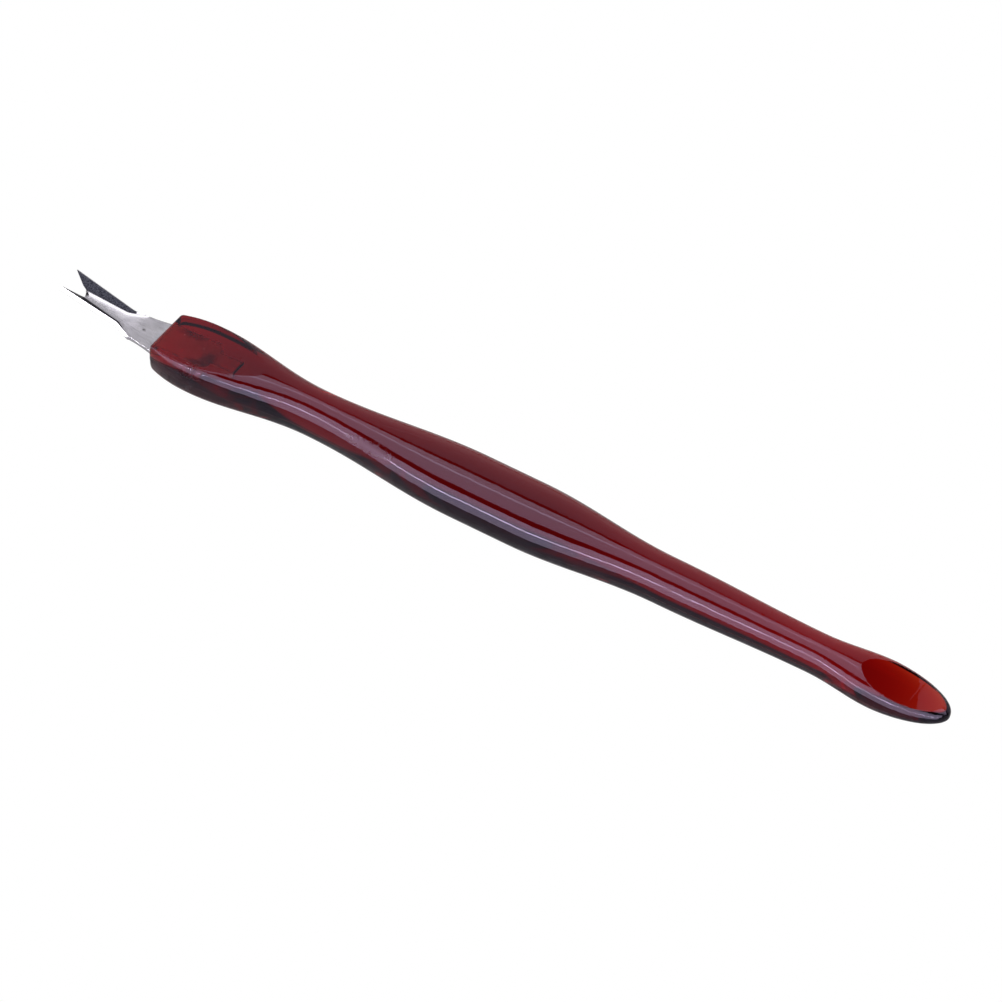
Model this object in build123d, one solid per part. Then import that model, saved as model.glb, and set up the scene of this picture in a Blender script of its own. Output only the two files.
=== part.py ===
from build123d import *
import math
import os

# Cuticle trimmer and pusher, in millimetres.
# +X runs along the tool, from the fork blade's prong tips to the rounded pusher end, and +Z is up.
# The origin is under the middle of the tool's length, on the surface it lies on.
# Stations on the handle are measured back from the face of its head, and stations on the blade
# are measured back from its prong tips.

# ---- handle: solid clear plastic, hour-glass contoured, the same above and below its mid-plane ----
handle_length = 109.5
# head: a soft-cornered block that holds the blade, with a flat above and below
head_face_width = 7.0
head_face_crown = 5.4
head_station = 6.0
head_width = 9.1
head_thickness = 5.6
# the two flats stand this far apart at the head's face, and each opens out by this angle
head_face_thickness = 3.8
head_flat_rise = 3.4
# waist: the narrow grip behind the head
waist_station = 22.0
waist_width = 5.8
waist_thickness = 5.5
# belly: the widest part of the grip
belly_station = 43.8
belly_length = 8.0
belly_width = 9.4
belly_thickness = 6.0
# flat that the tool lies on, taken off the belly's underside
rest_flat_depth = 0.15
# shank: the slim taper to the pusher
shank_station = 71.3
shank_width = 6.1
shank_thickness = 5.0
# neck: the narrowest place, where the paddle of the pusher begins
neck_from_end = 17.9
neck_width = 5.1
neck_thickness = 4.3
# paddle of the pusher
paddle_from_end = 8.8
paddle_width = 7.0
paddle_thickness = 4.3
paddle_tip_thickness = 3.0
# scooped face of the pusher, which leans down to the tip
scoop_length = 11.5
scoop_radius = 60.0
rim_height = 0.95

# ---- how square each cross-section is: 0.55 is an ellipse, and 1 is a box ----
head_fullness = 0.86
grip_fullness = 0.62
paddle_fullness = 0.62
round_fullness = 0.5523
edge_bluntness = 0.6

# ---- fork blade: stamped and formed stainless sheet ----
sheet = 0.5
blade_reach = 14.2
plate_width = 5.5
plate_root_width = 4.2
plate_root_station = 10.3
tang_width = 4.3
tang_length = 7.4
tang_corner = 0.7
tail_width = 1.9
tail_length = 3.3
# trough: the sheet folds up on both sides into a rising gouge
prong_spread = 3.3
trough_waist_width = 2.85
trough_waist_station = 8.0
tip_floor_rise = 1.5
tip_trough_depth = 1.2
waist_floor_rise = 0.3
waist_trough_depth = 0.45
trough_wall_angle = 43.0
trough_rounding = 0.12
# notch: the cutting edge between the prongs
notch_depth = 2.25
notch_radius = 0.62
edge_bevel_angle = 48.0

# ---- fits ----
glue_gap = 0.15

# ---- places worked out from the sizes above ----
overall_length = blade_reach + handle_length
tip_x = -overall_length / 2
head_x = tip_x + blade_reach
end_x = head_x + handle_length
mid_z = max(head_thickness, waist_thickness, belly_thickness) / 2 - rest_flat_depth


def cross_section(x, width, thickness, fullness):
    """A closed four-arc outline across the tool, square to X and centred on the mid-plane."""
    a = width / 2
    b = thickness / 2
    right = Vector(x, a, mid_z)
    top = Vector(x, 0, mid_z + b)
    left = Vector(x, -a, mid_z)
    bottom = Vector(x, 0, mid_z - b)
    reach_y = Vector(0, a * fullness, 0)
    reach_z = Vector(0, 0, b * fullness)
    quarters = [
        Edge.make_bezier(right, right + reach_z, top + reach_y, top),
        Edge.make_bezier(top, top - reach_y, left + reach_z, left),
        Edge.make_bezier(left, left - reach_z, bottom - reach_y, bottom),
        Edge.make_bezier(bottom, bottom + reach_y, right - reach_z, right),
    ]
    return Wire(quarters)


def between(start, end, share):
    """The value a share of the way from start to end."""
    return start + (end - start) * share


def eased(start, end, share):
    """As between, level at both ends."""
    return between(start, end, (1 - math.cos(math.pi * share)) / 2)


def upright(outline, foot, height):
    """An outline drawn from above, raised from foot by height."""
    return extrude(Pos(0, 0, foot) * outline, height, dir=(0, 0, 1))


def rounded_end_sections(paddle_x):
    """The paddle's rounded end: widths and thicknesses that close on a point as an ellipsoid's do."""
    sections = []
    for degrees in (28, 48, 63, 74, 82, 87):
        turn = math.radians(degrees)
        x = paddle_x + paddle_from_end * math.sin(turn)
        narrowing = math.cos(turn)
        lean = between(paddle_thickness, paddle_tip_thickness, math.sin(turn))
        thickness = lean * narrowing**edge_bluntness
        fullness = between(paddle_fullness, round_fullness, math.sin(turn) ** 2)
        sections.append(cross_section(x, paddle_width * narrowing, thickness, fullness))
    return sections


def handle_body():
    """The handle's outer form, lofted from the head's face to the pusher's end."""
    grown_x = head_x + head_station
    belly_x = head_x + belly_station
    paddle_x = end_x - paddle_from_end
    sections = [
        cross_section(head_x, head_face_width, head_face_crown, head_fullness),
        cross_section(
            between(head_x, grown_x, 0.45),
            between(head_face_width, head_width, 0.75),
            between(head_face_crown, head_thickness, 0.6),
            head_fullness,
        ),
        cross_section(grown_x, head_width, head_thickness, head_fullness),
    ]
    blends = [
        (grown_x, head_width, head_thickness, head_fullness),
        (head_x + waist_station, waist_width, waist_thickness, grip_fullness),
        (belly_x, belly_width, belly_thickness, grip_fullness),
        (belly_x + belly_length, belly_width, belly_thickness, grip_fullness),
        (head_x + shank_station, shank_width, shank_thickness, grip_fullness),
        (end_x - neck_from_end, neck_width, neck_thickness, grip_fullness),
        (paddle_x, paddle_width, paddle_thickness, paddle_fullness),
    ]
    for near, far in zip(blends, blends[1:]):
        for share in (0.25, 0.5, 0.75, 1.0):
            sizes = [eased(a, b, share) for a, b in zip(near[1:], far[1:])]
            sections.append(cross_section(between(near[0], far[0], share), *sizes))
    sections += rounded_end_sections(paddle_x)
    return Solid.make_loft(sections + [Vertex(end_x, 0, mid_z)])


def scoop_cutter():
    """A wide drum that hollows the pusher's face along its length."""
    low_z = mid_z + rim_height
    high_z = mid_z + paddle_thickness / 2
    run = scoop_length
    slope = math.atan2(high_z - low_z, run)
    chord = math.hypot(high_z - low_z, run)
    sag = math.sqrt(scoop_radius**2 - (chord / 2) ** 2)
    mid = Vector(end_x - run / 2, 0, (low_z + high_z) / 2)
    centre = mid + Vector(math.sin(slope), 0, math.cos(slope)) * sag
    drum = Rot(90, 0, 0) * Cylinder(scoop_radius, 4 * paddle_width)
    return Pos(*centre) * drum


def plan_tang(gap):
    """The tang's stepped outline seen from above, grown by a gap on its sides and ends."""
    main = Pos(head_x + (tang_length + gap) / 2, 0) * Rectangle(
        tang_length + gap, tang_width + 2 * gap
    )
    tail_start = head_x + tang_length / 2
    tail_end = head_x + tang_length + tail_length + gap
    tail = Pos((tail_start + tail_end) / 2, 0) * Rectangle(
        tail_end - tail_start, tail_width + 2 * gap
    )
    rounded = fillet(main.vertices().group_by(Axis.X)[-1], tang_corner)
    return rounded + tail


def socket():
    """The stepped slot in the head that takes the tang and its glue."""
    height = sheet + 2 * glue_gap
    return upright(plan_tang(glue_gap), mid_z - height / 2, height)


def head_flats():
    """The space above and below the head, outside its two flats."""
    space = Box(2 * waist_station, 2 * head_width, belly_thickness)
    foot = head_face_thickness / 2
    above = Rot(0, -head_flat_rise, 0) * Pos(0, 0, belly_thickness / 2) * space
    below = Rot(0, head_flat_rise, 0) * Pos(0, 0, -belly_thickness / 2) * space
    return Pos(head_x, 0, mid_z + foot) * above + Pos(head_x, 0, mid_z - foot) * below


def under_surface():
    """The space below the surface that the tool lies on."""
    return Pos(0, 0, -belly_thickness) * Box(
        2 * overall_length, 4 * belly_width, 2 * belly_thickness
    )


def make_handle():
    return handle_body() - head_flats() - under_surface() - scoop_cutter() - socket()


def trough_rise(y, half, depth):
    """The trough's height above its floor, y from the middle: a flat floor between two sloping walls."""
    slope = math.tan(math.radians(trough_wall_angle))
    floor_half = half - depth / slope
    past_floor = abs(y) - floor_half
    rounded = (past_floor + math.hypot(past_floor, trough_rounding)) / 2
    at_middle = (math.hypot(floor_half, trough_rounding) - floor_half) / 2
    return slope * (rounded - at_middle)


def trough_section(x, width, floor_rise, depth):
    """The formed sheet's outline across the blade: a trough of one wall thickness."""
    half = width / 2
    count = 24
    step = 0.001
    top = []
    under = []
    for i in range(count + 1):
        y = half * (2 * i / count - 1)
        z = trough_rise(y, half, depth)
        slope = math.atan2(trough_rise(y + step, half, depth) - z, step)
        level = mid_z + floor_rise + sheet / 2 + z
        top.append(Vector(x, y, level))
        under.append(
            Vector(x, y + sheet * math.sin(slope), level - sheet * math.cos(slope))
        )
    edges = [
        Edge.make_spline(top),
        Edge.make_line(top[-1], under[-1]),
        Edge.make_spline(list(reversed(under))),
        Edge.make_line(under[0], top[0]),
    ]
    return Wire(edges)


def trough():
    """The gouge: straight from the prong tips to its waist, then fading into the flat plate."""
    waist_x = tip_x + trough_waist_station
    root_x = tip_x + plate_root_station
    sections = [
        trough_section(tip_x, prong_spread, tip_floor_rise, tip_trough_depth),
        trough_section(waist_x, trough_waist_width, waist_floor_rise, waist_trough_depth),
    ]
    for share in (0.2, 0.4, 0.6, 0.8, 1.0):
        fade = (1 - share) ** 1.5
        sections.append(
            trough_section(
                between(waist_x, root_x, share),
                between(trough_waist_width, plate_root_width, share**1.3),
                waist_floor_rise * fade,
                waist_trough_depth * fade,
            )
        )
    return Solid.make_loft(sections, ruled=True)


def plate():
    """The flat of the blade, from the trough to the head's face, with hollow-curved sides."""
    root_x = tip_x + plate_root_station
    corner = Vector(root_x, plate_root_width / 2)
    shoulder = Vector(head_x, plate_width / 2)
    bend = Vector(between(root_x, head_x, 0.5), plate_root_width / 2 + 0.12)
    outline = [
        Edge.make_line(Vector(root_x, -corner.Y), corner),
        Edge.make_bezier(corner, bend, shoulder),
        Edge.make_line(shoulder, Vector(head_x, -shoulder.Y)),
        Edge.make_bezier(
            Vector(head_x, -shoulder.Y), Vector(bend.X, -bend.Y), Vector(root_x, -corner.Y)
        ),
    ]
    return upright(Face(Wire(outline)), mid_z - sheet / 2, sheet)


def tang():
    return upright(plan_tang(0), mid_z - sheet / 2, sheet)


def notch():
    """The opening between the prongs: two straight sides that meet in a round cutting edge."""
    centre_x = tip_x + notch_depth - notch_radius
    reach = math.hypot(centre_x - tip_x, prong_spread / 2)
    spread = math.acos(notch_radius / reach)
    bearing = math.atan2(prong_spread / 2, tip_x - centre_x) - spread
    touch = Vector(math.cos(bearing), math.sin(bearing)) * notch_radius + Vector(centre_x, 0)
    tip = Vector(tip_x, prong_spread / 2)
    beyond = tip + (tip - touch)
    outline = [
        Edge.make_line(beyond, touch),
        Edge.make_three_point_arc(
            touch, Vector(centre_x + notch_radius, 0), Vector(touch.X, -touch.Y)
        ),
        Edge.make_line(Vector(touch.X, -touch.Y), Vector(beyond.X, -beyond.Y)),
        Edge.make_line(Vector(beyond.X, -beyond.Y), beyond),
    ]
    return upright(Face(Wire(outline)), 0, 4 * mid_z)


def edge_bevel():
    """The ground slope behind the cutting edge, made by a leaning drum."""
    edge_z = mid_z + tip_floor_rise - sheet / 2
    centre = Vector(tip_x + notch_depth - notch_radius, 0, edge_z)
    drum = Rot(0, edge_bevel_angle, 0) * Cylinder(notch_radius, 6.0)
    return Pos(*centre) * drum


def make_fork_blade():
    blade = trough() + plate() + tang()
    return blade - notch() - edge_bevel()


def make_tang_adhesive():
    return socket() - tang()


def export(node, shape):
    shape.label = node
    export_step(shape, f"parts/{node}.step")


def main():
    os.makedirs("parts", exist_ok=True)
    export("handle", make_handle())
    export("fork_blade", make_fork_blade())
    export("tang_adhesive", make_tang_adhesive())


main()
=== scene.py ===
import math

import bpy
import numpy as np
from mathutils import Matrix, Vector


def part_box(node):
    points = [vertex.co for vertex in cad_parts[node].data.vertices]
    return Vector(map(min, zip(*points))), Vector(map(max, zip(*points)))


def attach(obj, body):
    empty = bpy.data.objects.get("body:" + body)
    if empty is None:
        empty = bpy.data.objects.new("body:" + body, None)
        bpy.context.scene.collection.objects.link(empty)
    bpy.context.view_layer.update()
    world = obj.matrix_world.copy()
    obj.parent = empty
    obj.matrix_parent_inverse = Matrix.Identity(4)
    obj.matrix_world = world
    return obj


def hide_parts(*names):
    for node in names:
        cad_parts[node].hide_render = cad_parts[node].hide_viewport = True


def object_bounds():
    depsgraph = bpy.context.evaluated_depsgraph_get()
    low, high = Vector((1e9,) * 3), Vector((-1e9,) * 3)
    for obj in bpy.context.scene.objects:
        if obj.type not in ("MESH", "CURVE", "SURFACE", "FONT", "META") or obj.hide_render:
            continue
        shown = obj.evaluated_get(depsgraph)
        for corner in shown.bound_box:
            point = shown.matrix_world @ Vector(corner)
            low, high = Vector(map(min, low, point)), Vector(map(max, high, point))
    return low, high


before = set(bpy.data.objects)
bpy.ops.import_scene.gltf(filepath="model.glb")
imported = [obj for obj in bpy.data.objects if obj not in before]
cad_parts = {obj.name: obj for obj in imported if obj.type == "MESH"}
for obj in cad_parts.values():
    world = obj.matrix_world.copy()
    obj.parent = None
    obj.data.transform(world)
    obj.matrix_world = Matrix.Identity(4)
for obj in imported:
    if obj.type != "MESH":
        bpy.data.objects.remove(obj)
cad_low, cad_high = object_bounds()

# Cuticle trimmer and pusher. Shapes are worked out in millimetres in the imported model's frame and
# turned into metres when each mesh is made. +X runs from the fork blade's prong tips to the
# pusher's rounded end, and +Z is up.
MM = 0.001

# ---- places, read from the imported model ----
TIP_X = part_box("fork_blade")[0].x / MM
TANG_END_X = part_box("fork_blade")[1].x / MM
HEAD_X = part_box("handle")[0].x / MM
END_X = cad_high.x / MM
GLUE_END_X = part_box("tang_adhesive")[1].x / MM
SOCKET_HALF_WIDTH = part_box("tang_adhesive")[1].y / MM
SOCKET_HALF_HEIGHT = (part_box("tang_adhesive")[1].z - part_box("tang_adhesive")[0].z) / 2 / MM
MID_Z = (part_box("tang_adhesive")[1].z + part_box("tang_adhesive")[0].z) / 2 / MM

# ---- handle: a cross-section is its width, its thickness and how full it is ----
HEAD_FACE = (7.0, 5.4, 0.86)
HEAD_STATION = 6.0
HEAD = (9.1, 5.6, 0.86)
HEAD_FACE_THICKNESS = 3.8  # between the flats over and under the head
HEAD_FLAT_RISE = 3.4  # degrees that each flat slopes away from the middle
HEAD_FLAT_LENGTH = 20.0
HEAD_FLAT_ROUNDING = 0.2
WIDTH_GROWTH = 2.32  # how fast the head swells behind its face
THICKNESS_GROWTH = 1.53
FACE_FILLET = 0.45
BLENDS = [  # how far back from the head's face, then the cross-section there
    (HEAD_STATION, *HEAD),
    (22.0, 5.8, 5.5, 0.62),  # waist
    (43.8, 9.4, 6.0, 0.62),  # belly
    (51.8, 9.4, 6.0, 0.62),
    (71.3, 6.1, 5.0, 0.62),  # shank
]
NECK = (5.1, 4.3, 0.62)
NECK_FROM_END = 17.9
PADDLE = (7.0, 4.3, 0.62)
PADDLE_FROM_END = 8.8
PADDLE_TIP_THICKNESS = 3.0
ROUND_FULLNESS = 0.5523
EDGE_BLUNTNESS = 0.6
SCOOP_LENGTH = 11.5
SCOOP_RADIUS = 60.0
RIM_HEIGHT = 0.95
RIM_ROUNDING = 0.07
PARTING_LINE_HEIGHT = 0.03
PARTING_LINE_WIDTH = 0.05

# ---- fork blade ----
SHEET = 0.5
PLATE_WIDTH = 5.5
PLATE_ROOT_WIDTH = 4.2
PLATE_ROOT_STATION = 10.3
TANG_WIDTH = 4.3
TANG_LENGTH = 7.4
TANG_CORNER = 0.7
TAIL_WIDTH = 1.9
PRONG_SPREAD = 3.3
TROUGH_WAIST_WIDTH = 2.85
TROUGH_WAIST_STATION = 8.0
TIP_FLOOR_RISE = 1.5
TIP_TROUGH_DEPTH = 1.2
WAIST_FLOOR_RISE = 0.3
WAIST_TROUGH_DEPTH = 0.45
TROUGH_WALL_ANGLE = 43.0
TROUGH_ROUNDING = 0.12
TROUGH_FADE = 1.5  # how fast the trough runs out into the plate
ROOT_WIDENING = 1.3  # how the sheet widens as it does so
PLATE_SIDE_BEND = 0.12  # the plate's sides curve towards a point this far out from their root
NOTCH_DEPTH = 2.25
NOTCH_RADIUS = 0.62
EDGE_BEVEL = 0.62  # how far back the cutting edge's ground slope runs
PRONG_BEVEL = 0.06
GROUND_SPREAD = 1.1  # half the ground slope's width, in notch radii
SHEET_EDGE = 0.05  # rounding along the stamped edges

WALL_SHADE_LENGTH = 8.8  # how far back the trough's walls get painted shade
# dark smudges left on the tang: back from the head's face and sideways, then their sizes
TANG_SMUDGES = [((2.6, 1.9), (2.6, 1.0)), ((6.9, -0.9), (1.3, 2.0)), ((5.6, -1.9), (1.6, 0.6))]

GLUE_OVERLAP = 0.004  # the glue wets both the plastic and the steel
GLUE_SET_BACK = 0.06  # from the head's face


def between(start, end, share):
    return start + (end - start) * share


def eased(start, end, share):
    return between(start, end, (1 - math.cos(math.pi * share)) / 2)


def spaced(start, end, step):
    """Evenly spaced places from start to end, no further apart than step."""
    count = max(1, math.ceil((end - start) / step))
    return [between(start, end, i / count) for i in range(count + 1)]


# ==== mesh helpers ====

# edges that turn by more than these degrees are shaded sharp
SKIN_SHARP_ANGLE = 32.0
BLADE_SHARP_ANGLE = 28.0


def skin(name, rings):
    """A closed mesh from rings of equally many points in mm, with flat caps at its two ends."""
    count = len(rings[0])
    points = [(x * MM, y * MM, z * MM) for ring in rings for x, y, z in ring]
    faces = []
    for r in range(len(rings) - 1):
        for i in range(count):
            j = (i + 1) % count
            near, far = r * count, (r + 1) * count
            faces.append((near + i, near + j, far + j, far + i))
    last = (len(rings) - 1) * count
    faces.append(tuple(reversed(range(count))))
    faces.append(tuple(last + i for i in range(count)))
    return mesh_object(name, points, faces, SKIN_SHARP_ANGLE)


def mesh_object(name, points, faces, sharp_angle):
    mesh = bpy.data.meshes.new(name)
    mesh.from_pydata(points, [], faces)
    mesh.validate()
    mesh.shade_smooth()
    mesh.set_sharp_from_angle(angle=math.radians(sharp_angle))
    mesh.update()
    obj = bpy.data.objects.new(name, mesh)
    bpy.context.scene.collection.objects.link(obj)
    return obj


# ==== handle ====

PADDLE_X = END_X - PADDLE_FROM_END
FLAT_END_X = HEAD_X + HEAD_FLAT_LENGTH
SCOOP_X = END_X - SCOOP_LENGTH
SCOOP_MARGIN = 1.0  # the scoop is cut from this far before it, to leave room for its rounding
NO_CUT = 1000.0  # a height above everything

QUARTER = 48  # steps in each quarter of a cross-section
FINE_T = np.linspace(0.0, 1.0, 1501)
# how much closer those steps stand by the parting line and by a cut's rim, and how far round
PARTING_CROWDING = 9.0
PARTING_REACH = 0.015
RIM_CROWDING = 7.0
RIM_REACH = 0.035
# the steps gather towards a cut over this length, which starts this far before the scoop
CROWDING_LENGTH = 2.0
SCOOP_LEAD = 3.0

# places along the handle up to which its cross-sections stand evenly, and how closely
SECTION_SPACINGS = [
    (FLAT_END_X, 0.3),
    (SCOOP_X - SCOOP_LEAD, 0.4),
    (SCOOP_X - 0.2, 0.2),
    (SCOOP_X + 1.4, 0.04),  # the scoop's edge
    (PADDLE_X, 0.1),
]
FILLET_TURNS = range(0, 90, 15)
END_SECTIONS = 96
END_CROWDING = 1.35  # above 1, these crowd towards the rounded end
FACE_RINGS = (0.3, 0.7)  # shares of the way from the socket to the edge of the head's face

# where a cut's slope is measured, and the limits it is held to before it scales the rounding
NEAR_CUT = 3.0
SLOPE_ELSEWHERE = 0.1
LEAST_SLOPE = 0.02
MOST_SLOPE = 2.0
SHORTEST_STEP = 1e-4

TANG_SPACING = 1.0
TANG_CORNER_TURNS = range(15, 91, 15)
TANG_STEP_RUN = 0.02  # a sudden change of width is drawn over this length


def face_inset(back):
    """How far the rounding round the head's face draws the surface in."""
    short = max(0.0, FACE_FILLET - back)
    return FACE_FILLET - math.sqrt(FACE_FILLET**2 - short**2)


def handle_size(x):
    """Width, thickness and fullness of the handle's cross-section at x."""
    back = x - HEAD_X
    if back < HEAD_STATION:
        left = 1 - back / HEAD_STATION
        width = between(HEAD_FACE[0], HEAD[0], 1 - left**WIDTH_GROWTH)
        thickness = between(HEAD_FACE[1], HEAD[1], 1 - left**THICKNESS_GROWTH)
        inset = face_inset(back)
        return width - 2 * inset, thickness - 2 * inset, HEAD[2]
    if x > PADDLE_X:
        share = min(1.0, (x - PADDLE_X) / PADDLE_FROM_END)
        narrowing = math.sqrt(1 - share**2)
        lean = between(PADDLE[1], PADDLE_TIP_THICKNESS, share)
        fullness = between(PADDLE[2], ROUND_FULLNESS, share**2)
        return PADDLE[0] * narrowing, lean * narrowing**EDGE_BLUNTNESS, fullness
    end = END_X - HEAD_X
    blends = BLENDS + [(end - NECK_FROM_END, *NECK), (end - PADDLE_FROM_END, *PADDLE)]
    for near, far in zip(blends, blends[1:]):
        if back <= far[0]:
            share = (back - near[0]) / (far[0] - near[0])
            return [eased(a, b, share) for a, b in zip(near[1:], far[1:])]


def quarter_y(t, half, fullness):
    return half * ((1 - t) ** 3 + 3 * (1 - t) ** 2 * t + 3 * (1 - t) * t**2 * fullness)


def quarter_z(t, half, fullness):
    return half * (3 * (1 - t) ** 2 * t * fullness + 3 * (1 - t) * t**2 + t**3)


def scoop_z(x):
    """The height of the scoop's hollow at x."""
    low = MID_Z + RIM_HEIGHT
    high = MID_Z + PADDLE[1] / 2
    slope = math.atan2(high - low, SCOOP_LENGTH)
    chord = math.hypot(high - low, SCOOP_LENGTH)
    sag = math.sqrt(SCOOP_RADIUS**2 - (chord / 2) ** 2)
    centre_x = END_X - SCOOP_LENGTH / 2 + sag * math.sin(slope)
    centre_z = (low + high) / 2 + sag * math.cos(slope)
    return centre_z - math.sqrt(SCOOP_RADIUS**2 - (x - centre_x) ** 2)


def flat_z(x):
    """The height of the head's top flat at x."""
    back = x - HEAD_X
    rise = back * math.tan(math.radians(HEAD_FLAT_RISE))
    return MID_Z + HEAD_FACE_THICKNESS / 2 + rise - face_inset(back)


def quarter_steps(x, half_thickness, fullness):
    """Places round a quarter section, close together at the parting line and at any cut's rim."""
    closeness = 1 + PARTING_CROWDING * np.exp(-((FINE_T / PARTING_REACH) ** 2))
    rise = MID_Z + quarter_z(FINE_T, half_thickness, fullness)
    near_scoop = min(1.0, max(0.0, (x - SCOOP_X + SCOOP_LEAD) / CROWDING_LENGTH))
    near_flat = min(1.0, max(0.0, (FLAT_END_X - x) / CROWDING_LENGTH))
    for nearness, cut_z in ((near_scoop, scoop_z), (near_flat, flat_z)):
        if nearness > 0:
            rim = np.interp(cut_z(x), rise, FINE_T)
            gap = (FINE_T - rim) / RIM_REACH
            closeness = closeness + RIM_CROWDING * nearness * np.exp(-(gap**2))
    run = np.concatenate([[0.0], np.cumsum((closeness[1:] + closeness[:-1]) / 2)])
    return np.interp(np.linspace(0, run[-1], QUARTER + 1), run, FINE_T)


def handle_ring(x):
    """The outline at x, from the near-side parting line over the top: arrays of y and z."""
    width, thickness, fullness = handle_size(x)
    line_height = PARTING_LINE_HEIGHT * min(1.0, width / PADDLE[0])
    half_y = width / 2 - line_height
    half_z = thickness / 2
    t = quarter_steps(x, half_z, fullness)
    y = quarter_y(t, half_y, fullness)
    z = quarter_z(t, half_z, fullness)
    y = y + line_height * np.exp(-((z / PARTING_LINE_WIDTH) ** 2))
    y_all = np.concatenate([y, -y[-2::-1], -y[1:], y[-2:0:-1]])
    z_all = np.concatenate([z, z[-2::-1], -z[1:], -z[-2:0:-1]])
    return y_all, MID_Z + z_all


def handle_stations():
    """Every place along the handle that has a cross-section."""
    stations = [HEAD_X + FACE_FILLET * (1 - math.cos(math.radians(a))) for a in FILLET_TURNS]
    start = HEAD_X + FACE_FILLET
    stations.append(start)
    for end, spacing in SECTION_SPACINGS:
        stations += spaced(start, end, spacing)[1:]
        start = end
    turns = [90 * (1 - (1 - i / END_SECTIONS) ** END_CROWDING) for i in range(1, END_SECTIONS)]
    stations += [PADDLE_X + PADDLE_FROM_END * math.sin(math.radians(a)) for a in turns]
    return stations


def cut_down(xs, y, z, heights, rounding):
    """Cuts the grid's top down to a height at each of xs, with a small rounding along the rim."""
    hollow = np.array(heights)[:, None]
    over = z - hollow
    along = np.hypot(np.diff(y, axis=1, append=y[:, :1]), np.diff(z, axis=1, append=z[:, :1]))
    around = np.gradient(over, axis=1) / np.maximum(along, SHORTEST_STEP)
    lengthways = np.gradient(over, axis=0) / np.gradient(np.array(xs))[:, None]
    steep = np.hypot(around, np.clip(lengthways, -MOST_SLOPE, MOST_SLOPE))
    steep = np.where(np.abs(over) < NEAR_CUT, steep, SLOPE_ELSEWHERE)
    soft = rounding * np.clip(steep, LEAST_SLOPE, MOST_SLOPE)
    overlap = np.maximum(soft - np.abs(over), 0) / soft
    clipped = np.minimum(z, hollow) - overlap**2 * soft / 4
    return np.where(z > MID_Z, clipped, z)


def slot_ring(x, half_width, half_height):
    """A rectangle across the tool with as many points as the handle's outline."""
    side = QUARTER // 4
    quarter = [(half_width, half_height * i / side) for i in range(side + 1)]
    top = QUARTER - side
    quarter += [(half_width * (1 - i / top), half_height) for i in range(1, top + 1)]
    ring = quarter + [(-y, z) for y, z in quarter[-2::-1]]
    ring += [(-y, -z) for y, z in quarter[1:]] + [(y, -z) for y, z in quarter[-2:0:-1]]
    return [(x, y, MID_Z + z) for y, z in ring]


def tang_rings(start_x, grow, end_x, half_height, side_grow):
    """The tang's stepped form as rectangles: its sides grown by side_grow and its end by grow."""
    wide = TANG_WIDTH / 2 + side_grow
    corner_x = HEAD_X + TANG_LENGTH + grow - TANG_CORNER
    rings = [slot_ring(x, wide, half_height) for x in spaced(start_x, corner_x, TANG_SPACING)]
    for degrees in TANG_CORNER_TURNS:
        turn = math.radians(degrees)
        half = wide - TANG_CORNER * (1 - math.cos(turn))
        rings.append(slot_ring(corner_x + TANG_CORNER * math.sin(turn), half, half_height))
    tail = TAIL_WIDTH / 2 + side_grow
    step_x = corner_x + TANG_CORNER + TANG_STEP_RUN
    rings += [slot_ring(x, tail, half_height) for x in spaced(step_x, end_x, TANG_SPACING)]
    return rings


def make_handle():
    xs = handle_stations()
    outlines = [handle_ring(x) for x in xs]
    y = np.array([o[0] for o in outlines])
    z = np.array([o[1] for o in outlines])
    scoop = [scoop_z(x) if x > SCOOP_X - SCOOP_MARGIN else NO_CUT for x in xs]
    flats = [flat_z(x) if x < FLAT_END_X else NO_CUT for x in xs]
    z = cut_down(xs, y, z, scoop, RIM_ROUNDING)
    z = cut_down(xs, y, z, flats, HEAD_FLAT_ROUNDING)
    z = 2 * MID_Z - cut_down(xs, y, 2 * MID_Z - z, flats, HEAD_FLAT_ROUNDING)
    z = np.maximum(z, 0.0)
    outer = [list(zip([x] * len(y[i]), y[i], z[i])) for i, x in enumerate(xs)]
    glue_gap = SOCKET_HALF_WIDTH - TANG_WIDTH / 2
    cavity = tang_rings(HEAD_X, glue_gap, GLUE_END_X, SOCKET_HALF_HEIGHT, glue_gap)
    face = [
        [tuple(between(a, b, s) for a, b in zip(p, q)) for p, q in zip(cavity[0], outer[0])]
        for s in FACE_RINGS
    ]
    return skin("handle_body", list(reversed(cavity)) + face + outer)


def show_as(obj, material, node):
    obj.data.materials.append(material)
    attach(obj, "root")
    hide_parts(node)


# ==== fork blade ====

ACROSS = 32  # steps across the sheet
TROUGH_ROWS = 36
BEND_SPACING = 0.12  # between rows where the trough runs out into the plate
PLATE_SPACING = 0.3


def trough_rise(y, half, depth):
    """The trough's height at y from its middle: a flat floor between sloping walls."""
    slope = math.tan(math.radians(TROUGH_WALL_ANGLE))
    floor_half = half - depth / slope
    past_floor = abs(y) - floor_half
    rounded = (past_floor + math.hypot(past_floor, TROUGH_ROUNDING)) / 2
    at_middle = (math.hypot(floor_half, TROUGH_ROUNDING) - floor_half) / 2
    return slope * (rounded - at_middle)


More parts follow.
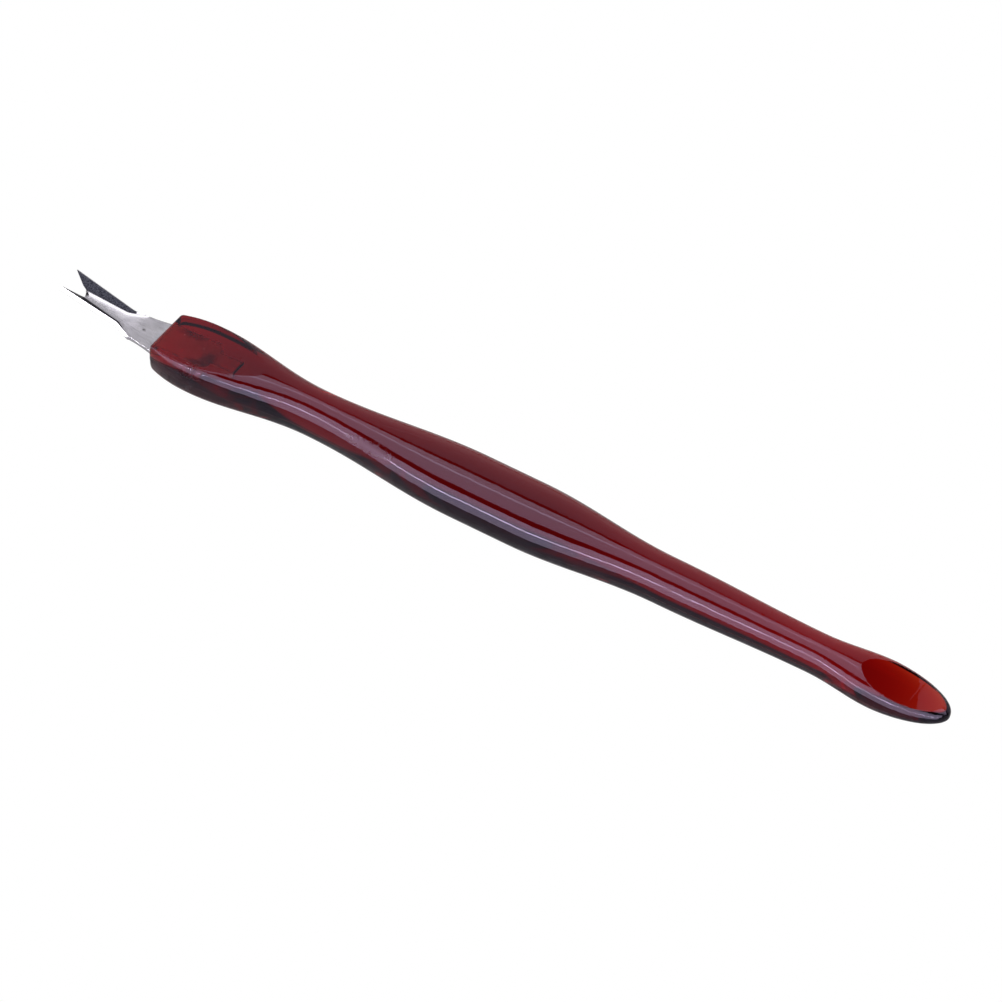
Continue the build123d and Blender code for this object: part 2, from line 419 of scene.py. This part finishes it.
def blade_form(x):
    """Half-width, floor height and trough depth of the formed sheet at x."""
    waist_x = TIP_X + TROUGH_WAIST_STATION
    root_x = TIP_X + PLATE_ROOT_STATION
    if x <= waist_x:
        s = (x - TIP_X) / TROUGH_WAIST_STATION
        return (
            between(PRONG_SPREAD, TROUGH_WAIST_WIDTH, s) / 2,
            between(TIP_FLOOR_RISE, WAIST_FLOOR_RISE, s),
            between(TIP_TROUGH_DEPTH, WAIST_TROUGH_DEPTH, s),
        )
    if x <= root_x:
        s = (x - waist_x) / (root_x - waist_x)
        fade = (1 - s) ** TROUGH_FADE
        half = between(TROUGH_WAIST_WIDTH, PLATE_ROOT_WIDTH, s**ROOT_WIDENING) / 2
        return half, WAIST_FLOOR_RISE * fade, WAIST_TROUGH_DEPTH * fade
    if x <= HEAD_X:
        s = (x - root_x) / (HEAD_X - root_x)
        bend = PLATE_ROOT_WIDTH / 2 + PLATE_SIDE_BEND
        half = (
            (1 - s) ** 2 * PLATE_ROOT_WIDTH / 2
            + 2 * s * (1 - s) * bend
            + s**2 * PLATE_WIDTH / 2
        )
        return half, 0.0, 0.0
    corner_x = HEAD_X + TANG_LENGTH - TANG_CORNER
    if x <= corner_x:
        return TANG_WIDTH / 2, 0.0, 0.0
    if x <= corner_x + TANG_CORNER:
        turn = x - corner_x
        inset = TANG_CORNER - math.sqrt(max(0.0, TANG_CORNER**2 - turn**2))
        return TANG_WIDTH / 2 - inset, 0.0, 0.0
    return TAIL_WIDTH / 2, 0.0, 0.0


def blade_point(x, share, under):
    """A point of the sheet, share from -1 to 1 across it, on its top or its underside."""
    half, floor, depth = blade_form(x)
    y = half * share
    if depth > 0:
        step = 0.001
        rise = trough_rise(y, half, depth)
        slope = math.atan2(trough_rise(y + step, half, depth) - rise, step)
    else:
        rise = 0.0
        slope = 0.0
    z = MID_Z + SHEET / 2 + floor + rise
    if under:
        return x, y + SHEET * math.sin(slope), z - SHEET * math.cos(slope)
    return x, y, z


def sheet_ring(x_top, x_under):
    """The sheet's outline across the blade; x_top and x_under place its faces for each share."""
    shares = [math.sin(math.radians(90 * (2 * i / ACROSS - 1))) for i in range(ACROSS + 1)]
    top = [blade_point(x_top(s), s, False) for s in shares]
    under = [blade_point(x_under(s), s, True) for s in shares]
    ring = rounded_edge(top[0], top[1], under[0]) + top[1:-1]
    ring += list(reversed(rounded_edge(top[-1], top[-2], under[-1])))
    ring += rounded_edge(under[-1], under[-2], top[-1]) + list(reversed(under[1:-1]))
    ring += list(reversed(rounded_edge(under[0], under[1], top[0])))
    return ring


def rounded_edge(corner, along, down):
    """Four points round a corner of the sheet: from the side wall to the face it meets."""
    corner, along, down = Vector(corner), Vector(along), Vector(down)
    face = (along - corner).normalized() * SHEET_EDGE
    side = (down - corner).normalized() * SHEET_EDGE
    centre = corner + face + side
    turns = [math.radians(a) for a in (0, 30, 60, 90)]
    return [tuple(centre - face * math.cos(a) - side * math.sin(a)) for a in turns]


def notch_x(share):
    """The notch's outline: the place of the sheet's front edge at a share of its half-width."""
    centre_x = TIP_X + NOTCH_DEPTH - NOTCH_RADIUS
    reach = math.hypot(centre_x - TIP_X, PRONG_SPREAD / 2)
    spread = math.acos(NOTCH_RADIUS / reach)
    bearing = math.atan2(PRONG_SPREAD / 2, TIP_X - centre_x) - spread
    touch_x = centre_x + NOTCH_RADIUS * math.cos(bearing)
    touch_y = NOTCH_RADIUS * math.sin(bearing)
    y = abs(share) * PRONG_SPREAD / 2
    if y < touch_y:
        return centre_x + math.sqrt(NOTCH_RADIUS**2 - y**2)
    return between(touch_x, TIP_X, (y - touch_y) / (PRONG_SPREAD / 2 - touch_y))


def bevel_back(share):
    """How far the ground slope behind the front edge runs back at a share of the half-width."""
    y = abs(share) * PRONG_SPREAD / 2
    ground = math.sqrt(max(0.0, 1 - (y / (GROUND_SPREAD * NOTCH_RADIUS)) ** 2))
    return PRONG_BEVEL * (1 - share**2) + (EDGE_BEVEL - PRONG_BEVEL) * ground


def make_blade():
    waist_x = TIP_X + TROUGH_WAIST_STATION
    rows = []
    for i in range(TROUGH_ROWS + 1):
        s = i / TROUGH_ROWS
        rows.append(
            sheet_ring(
                lambda v: between(notch_x(v) + bevel_back(v), waist_x, s),
                lambda v: between(notch_x(v), waist_x, s),
            )
        )
    root_x = TIP_X + PLATE_ROOT_STATION
    corner_x = HEAD_X + TANG_LENGTH - TANG_CORNER
    stations = spaced(waist_x, root_x, BEND_SPACING)[1:]
    stations += spaced(root_x, HEAD_X, PLATE_SPACING)[1:]
    stations += spaced(HEAD_X + TANG_STEP_RUN, corner_x, TANG_SPACING)
    stations += [corner_x + TANG_CORNER * math.sin(math.radians(a)) for a in TANG_CORNER_TURNS]
    stations += spaced(corner_x + TANG_CORNER + TANG_STEP_RUN, TANG_END_X, TANG_SPACING)
    for x in stations:
        rows.append(sheet_ring(lambda v: x, lambda v: x))
    return front_closed("fork_blade_sheet", rows)


def front_closed(name, rows):
    """The blade's mesh: its rings, the walls of the notch at the front and a flat back end."""
    count = len(rows[0])
    points = [(x * MM, y * MM, z * MM) for row in rows for x, y, z in row]
    faces = []
    for r in range(len(rows) - 1):
        for i in range(count):
            j = (i + 1) % count
            near, far = r * count, (r + 1) * count
            faces.append((near + i, far + i, far + j, near + j))
    half = count // 2
    for i in range(half - 1):
        faces.append((i, i + 1, count - 2 - i, count - 1 - i))
    last = (len(rows) - 1) * count
    faces.append(tuple(last + i for i in reversed(range(count))))
    return mesh_object(name, points, faces, BLADE_SHARP_ANGLE)


# ==== glue ====


def make_glue():
    glue_gap = SOCKET_HALF_WIDTH - TANG_WIDTH / 2
    front = HEAD_X + GLUE_SET_BACK
    outer = tang_rings(
        front,
        glue_gap,
        GLUE_END_X,
        SOCKET_HALF_HEIGHT + GLUE_OVERLAP,
        glue_gap + GLUE_OVERLAP,
    )
    inner = tang_rings(
        front, 0.0, TANG_END_X - GLUE_OVERLAP, SHEET / 2 - GLUE_OVERLAP, -GLUE_OVERLAP
    )
    return skin("tang_glue", list(reversed(inner)) + outer)


# ==== materials ====

CLEAR = (1.0, 1.0, 1.0, 1.0)
REFRACTION = 1.5

PLASTIC_SHEEN = (0.8, 0.67, 1.0, 1.0)  # its reflections are tinted to match the photo's bands
PLASTIC_COLOUR = (0.83, 0.22, 0.0, 1.0)
PLASTIC_DENSITY = 2000.0
# where the scuff and the scoop's scratches are, in mm, and their sizes
SCUFF_AT = (HEAD_X + 31.0, -3.0, MID_Z + 2.2)
SCUFF_SIZE = (6.0, 1.3, 1.2)
SCRATCHES_AT = (END_X - 4.5, 0.0, MID_Z + 1.4)
SCRATCHES_SIZE = (8.0, 5.0, 1.2)

STEEL_TONES = (0.6, 0.575, 0.64, 1.0), (0.68, 0.655, 0.71, 1.0)
PAINTED_WALL_SHADES = (0.006, 0.006, 0.009, 1.0), (0.028, 0.028, 0.036, 1.0)
# painted shade: near-black tones for the trough's inner walls, standing in for the dark surroundings
# they reflect
TANG_FILM = (0.96, 0.93, 0.88, 1.0)
TONE_EDGE = 0.3  # the length over which a tone of the steel changes
PIT_AT = (TIP_X + 11.1, -0.1, MID_Z + SHEET / 2)
PIT_SIZE = (0.3, 0.22, 0.3)

GLUE_COLOUR = (0.85, 0.6, 0.3, 1.0)
GLUE_DENSITY = 600.0

# heights in metres of what bump shows
WAVE_HEIGHT = 0.000005
SCRATCH_HEIGHT = 0.00001
GRAIN_HEIGHT = 0.000002
SMEAR_HEIGHT = 0.00002


class Nodes:
    """A material's node tree, with short calls for what every material here needs."""

    def __init__(self, name):
        self.material = bpy.data.materials.new(name)
        self.material.use_nodes = True
        self.tree = self.material.node_tree
        self.tree.nodes.clear()
        self.out = self.add("OutputMaterial")
        places = self.add("TexCoord")
        self.place = places.outputs["Object"]
        self.facing = places.outputs["Normal"]

    def add(self, kind, **settings):
        node = self.tree.nodes.new("ShaderNode" + kind)
        for key, value in settings.items():
            setattr(node, key, value)
        return node

    def link(self, source, target):
        self.tree.links.new(source, target)

    def set(self, node, **values):
        for key, value in values.items():
            node.inputs[key.replace("_", " ")].default_value = value
        return node

    def stretched(self, scale):
        mapping = self.add("Mapping")
        mapping.inputs["Scale"].default_value = scale
        self.link(self.place, mapping.inputs["Vector"])
        return mapping.outputs["Vector"]

    def noise(self, scale, detail=4.0, roughness=0.55, vector=None):
        node = self.add("TexNoise")
        self.set(node, Scale=scale, Detail=detail, Roughness=roughness)
        self.link(vector or self.place, node.inputs["Vector"])
        return node.outputs["Fac"]

    def ramp(self, source, low, high, to_low, to_high):
        node = self.add("MapRange")
        node.inputs["From Min"].default_value = low
        node.inputs["From Max"].default_value = high
        node.inputs["To Min"].default_value = to_low
        node.inputs["To Max"].default_value = to_high
        self.link(source, node.inputs["Value"])
        return node.outputs["Result"]

    def math(self, operation, a, b):
        node = self.add("Math", operation=operation)
        for socket, value in zip(node.inputs, (a, b)):
            if isinstance(value, (int, float)):
                socket.default_value = value
            else:
                self.link(value, socket)
        return node.outputs["Value"]

    def patch(self, centre, size):
        """1 at a place on the object, falling to 0 at size away from it."""
        gap = self.add("VectorMath", operation="SUBTRACT")
        self.link(self.place, gap.inputs[0])
        gap.inputs[1].default_value = [c * MM for c in centre]
        share = self.add("VectorMath", operation="DIVIDE")
        self.link(gap.outputs["Vector"], share.inputs[0])
        share.inputs[1].default_value = [s * MM for s in size]
        length = self.add("VectorMath", operation="LENGTH")
        self.link(share.outputs["Vector"], length.inputs[0])
        return self.ramp(length.outputs["Value"], 0.0, 1.0, 1.0, 0.0)

    def mix(self, factor, a, b, **settings):
        """Blends two colours; each of the three is a value or another node's output."""
        node = self.add("Mix", data_type="RGBA", **settings)
        for name, value in (("Factor", factor), ("A", a), ("B", b)):
            if isinstance(value, (float, tuple)):
                node.inputs[name].default_value = value
            else:
                self.link(value, node.inputs[name])
        return node.outputs["Result"]

    def bump(self, height, distance, normal=None):
        node = self.add("Bump")
        node.inputs["Distance"].default_value = distance
        self.link(height, node.inputs["Height"])
        if normal is not None:
            self.link(normal, node.inputs["Normal"])
        return node.outputs["Normal"]


def red_plastic():
    """Clear dark-red moulded plastic: polished, faintly wavy, with smears, scratches and a scuff."""
    n = Nodes("clear_red_plastic")
    skin_shader = n.add("BsdfPrincipled")
    n.set(skin_shader, Base_Color=CLEAR, IOR=REFRACTION, Transmission_Weight=1.0)
    n.set(skin_shader, Specular_Tint=PLASTIC_SHEEN)
    speckle = n.noise(2600.0, 3.0, 0.7)
    worn = n.ramp(n.patch(SCUFF_AT, SCUFF_SIZE), 0.05, 0.8, 0.0, 1.0)
    scuff = n.ramp(n.math("ADD", worn, speckle), 0.75, 1.15, 0.0, 1.0)
    smears = n.ramp(n.noise(260.0, 5.0, 0.6), 0.35, 0.75, 0.0, 0.02)
    roughness = n.math("ADD", smears, n.math("MULTIPLY", scuff, 0.4))
    n.link(roughness, skin_shader.inputs["Roughness"])
    waves = n.noise(140.0, 1.0, 0.3, n.stretched((0.2, 1.0, 1.0)))
    normal = n.bump(waves, WAVE_HEIGHT)
    scratches = n.noise(900.0, 2.0, 0.5, n.stretched((1.0, 0.06, 1.0)))
    scoop = n.patch(SCRATCHES_AT, SCRATCHES_SIZE)
    lines = n.math("MULTIPLY", n.ramp(scratches, 0.58, 0.7, 0.0, 1.0), scoop)
    normal = n.bump(lines, SCRATCH_HEIGHT, normal)
    n.link(normal, skin_shader.inputs["Normal"])
    volume = n.add("VolumeAbsorption")
    n.set(volume, Color=PLASTIC_COLOUR, Density=PLASTIC_DENSITY)
    n.link(skin_shader.outputs["BSDF"], n.out.inputs["Surface"])
    n.link(volume.outputs["Volume"], n.out.inputs["Volume"])
    return n.material


def steel():
    """Polished stainless sheet: painted shade on the trough's inner walls, dark and grainy, the tang
    filmed over.
    """
    n = Nodes("stainless_sheet")
    shader = n.add("BsdfPrincipled")
    cloud = n.noise(420.0, 4.0, 0.6)
    grain = n.noise(5200.0, 3.0, 0.6, n.stretched((0.08, 1.0, 1.0)))
    speckle = n.noise(6500.0, 2.0, 0.6)
    facing = n.add("SeparateXYZ")
    n.link(n.facing, facing.inputs["Vector"])
    at = n.add("SeparateXYZ")
    n.link(n.place, at.inputs["Vector"])
    inward = n.math("MULTIPLY", facing.outputs["Y"], n.math("SIGN", at.outputs["Y"], 0.0))
    # painted shade: the trough's inner walls are found by which way they face, then coloured near
    # black below
    walls = n.math(
        "MULTIPLY",
        n.ramp(inward, -0.3, -0.5, 0.0, 1.0),
        n.ramp(facing.outputs["Z"], 0.45, 0.6, 0.0, 1.0),
    )
    wall_end = (TIP_X + WALL_SHADE_LENGTH) * MM
    wall_fade = n.ramp(at.outputs["X"], wall_end, wall_end + TONE_EDGE * MM, 1.0, 0.0)
    walls = n.math("MULTIPLY", walls, wall_fade)
    tang = n.ramp(at.outputs["X"], HEAD_X * MM, (HEAD_X + TONE_EDGE) * MM, 0.0, 1.0)
    stains = n.ramp(n.patch(PIT_AT, PIT_SIZE), 0.0, 0.8, 1.0, 0.25)
    for smudge_at, size in TANG_SMUDGES:
        centre = (HEAD_X + smudge_at[0], smudge_at[1], MID_Z + SHEET / 2)
        blotch = n.ramp(cloud, 0.3, 0.6, 0.4, 1.6)
        smudge = n.math("MULTIPLY", n.patch(centre, (*size, 1.0)), blotch)
        stains = n.math("MULTIPLY", stains, n.ramp(smudge, 0.0, 0.9, 1.0, 0.35))
    tone = n.mix(n.ramp(cloud, 0.35, 0.65, 0.0, 1.0), *STEEL_TONES)
    coated = n.mix(tang, tone, TANG_FILM)
    # painted shade on the walls, with speckle between two dark tones
    painted_wall_shade = n.mix(n.ramp(speckle, 0.35, 0.7, 0.0, 1.0), *PAINTED_WALL_SHADES)
    shade = n.mix(walls, coated, painted_wall_shade)
    n.link(n.mix(1.0, shade, stains, blend_type="MULTIPLY"), shader.inputs["Base Color"])
    rough = n.math("ADD", n.ramp(grain, 0.3, 0.7, 0.16, 0.26), n.math("MULTIPLY", walls, 0.2))
    n.link(n.math("ADD", rough, n.math("MULTIPLY", tang, 0.3)), shader.inputs["Roughness"])
    n.link(n.ramp(tang, 0.0, 1.0, 1.0, 0.0), shader.inputs["Metallic"])
    n.link(n.bump(grain, GRAIN_HEIGHT), shader.inputs["Normal"])
    n.link(shader.outputs["BSDF"], n.out.inputs["Surface"])
    return n.material


def glue():
    """Cured clear adhesive: faintly amber, with cloudy smears."""
    n = Nodes("cured_adhesive")
    shader = n.add("BsdfPrincipled")
    n.set(shader, Base_Color=CLEAR, IOR=REFRACTION, Transmission_Weight=1.0)
    n.link(n.ramp(n.noise(500.0, 2.0, 0.5), 0.45, 0.7, 0.02, 0.4), shader.inputs["Roughness"])
    n.link(n.bump(n.noise(400.0, 2.0, 0.5), SMEAR_HEIGHT), shader.inputs["Normal"])
    volume = n.add("VolumeAbsorption")
    n.set(volume, Color=GLUE_COLOUR, Density=GLUE_DENSITY)
    n.link(shader.outputs["BSDF"], n.out.inputs["Surface"])
    n.link(volume.outputs["Volume"], n.out.inputs["Volume"])
    return n.material


def floor_material():
    """A floor: plain white to the camera, dimmer through the plastic, soft grey in reflections."""
    n = Nodes("white_floor")
    card = n.add("BsdfDiffuse")
    card.inputs["Color"].default_value = (FLOOR_CARD, FLOOR_CARD, FLOOR_CARD, 1.0)
    white = n.add("Emission")
    rays = n.add("LightPath")
    strength = n.ramp(rays.outputs["Is Camera Ray"], 0.0, 1.0, FLOOR_THROUGH_PLASTIC, 1.0)
    n.link(strength, white.inputs["Strength"])
    mix = n.add("MixShader")
    seen = n.math("MAXIMUM", rays.outputs["Is Camera Ray"], rays.outputs["Is Transmission Ray"])
    n.link(seen, mix.inputs["Fac"])
    n.link(card.outputs["BSDF"], mix.inputs[1])
    n.link(white.outputs["Emission"], mix.inputs[2])
    n.link(mix.outputs["Shader"], n.out.inputs["Surface"])
    return n.material


# ==== studio ====

CAMERA_AZIMUTH = math.radians(34.006)
CAMERA_ELEVATION = math.radians(46.077)
CAMERA_ROLL = math.radians(-0.290)
CAMERA_DISTANCE = 0.7758
SENSOR = 36.0
LENS = 238.28
AIM_RIGHT = 0.000588
AIM_UP = -0.000193

# Lights stand round the tool on a drum along X, each from one angle in degrees to another: the
# horizon behind the tool is 0, overhead is 90 and the horizon in front is 180. Last in each is
# how bright it is.
LIGHT_DISTANCE = 0.8
LIGHT_LENGTH = 3.0
LIGHTS = [
    ("backdrop", 2.0, 53.0, 0.48),
    ("overhead", 57.0, 96.0, 1.9),
    ("overhead_core", 66.0, 69.0, 2.0),
    ("front", 111.0, 178.0, 3.3),
    ("front_core", 139.0, 142.5, 16.0),
]
STUDIO_GLOW = 0.03
FLOOR_CARD = 0.25
FLOOR_THROUGH_PLASTIC = 0.7
FLOOR_Z = -0.00002  # the rest flat doesn't quite touch the floor
FLOOR_HALF = 1.5
FLOOR_STEPS = 24


def make_floor():
    shares = [i / FLOOR_STEPS for i in range(FLOOR_STEPS + 1)]
    places = [between(-FLOOR_HALF, FLOOR_HALF, share) for share in shares]
    points = [(x, y, FLOOR_Z) for y in places for x in places]
    row = FLOOR_STEPS + 1
    faces = [
        (r * row + c, r * row + c + 1, (r + 1) * row + c + 1, (r + 1) * row + c)
        for r in range(FLOOR_STEPS)
        for c in range(FLOOR_STEPS)
    ]
    floor = mesh_object("floor", points, faces, SKIN_SHARP_ANGLE)
    floor.data.materials.append(floor_material())


def make_light(name, start, end, radiance):
    """A flat light facing the tool, wide enough to span its two angles."""
    middle = math.radians((start + end) / 2)
    width = 2 * LIGHT_DISTANCE * math.tan(math.radians((end - start) / 2))
    data = bpy.data.lights.new(name, "AREA")
    data.shape = "RECTANGLE"
    data.size = LIGHT_LENGTH
    data.size_y = width
    data.energy = radiance * math.pi * LIGHT_LENGTH * width
    light = bpy.data.objects.new(name, data)
    bpy.context.scene.collection.objects.link(light)
    towards = Vector((0, math.cos(middle), math.sin(middle)))
    along = Vector((1, 0, 0))
    turn = Matrix((along, towards.cross(along), towards)).transposed()
    light.matrix_world = Matrix.Translation(towards * LIGHT_DISTANCE) @ turn.to_4x4()


def make_world():
    world = bpy.data.worlds.new("studio")
    world.use_nodes = True
    glow = (STUDIO_GLOW, STUDIO_GLOW, STUDIO_GLOW, 1.0)
    world.node_tree.nodes["Background"].inputs["Color"].default_value = glow
    bpy.context.scene.world = world


def make_camera():
    azimuth, elevation = CAMERA_AZIMUTH, CAMERA_ELEVATION
    back = Vector(
        (
            math.sin(azimuth) * math.cos(elevation),
            -math.cos(azimuth) * math.cos(elevation),
            math.sin(elevation),
        )
    )
    level = Vector((math.cos(azimuth), math.sin(azimuth), 0))
    upward = back.cross(level)
    right = math.cos(CAMERA_ROLL) * level + math.sin(CAMERA_ROLL) * upward
    up = math.cos(CAMERA_ROLL) * upward - math.sin(CAMERA_ROLL) * level
    data = bpy.data.cameras.new("camera")
    data.sensor_width = SENSOR
    data.lens = LENS
    data.clip_start = 0.01
    data.clip_end = 10.0
    camera = bpy.data.objects.new("camera", data)
    bpy.context.scene.collection.objects.link(camera)
    aim = Vector((0, 0, MID_Z * MM)) + right * AIM_RIGHT + up * AIM_UP
    camera.matrix_world = (
        Matrix.Translation(aim + back * CAMERA_DISTANCE)
        @ Matrix((right, up, back)).transposed().to_4x4()
    )
    bpy.context.scene.camera = camera


show_as(make_handle(), red_plastic(), "handle")
show_as(make_blade(), steel(), "fork_blade")
show_as(make_glue(), glue(), "tang_adhesive")
make_floor()
for light in LIGHTS:
    make_light(*light)
make_world()
make_camera()
bpy.context.scene.view_settings.view_transform = "Standard"
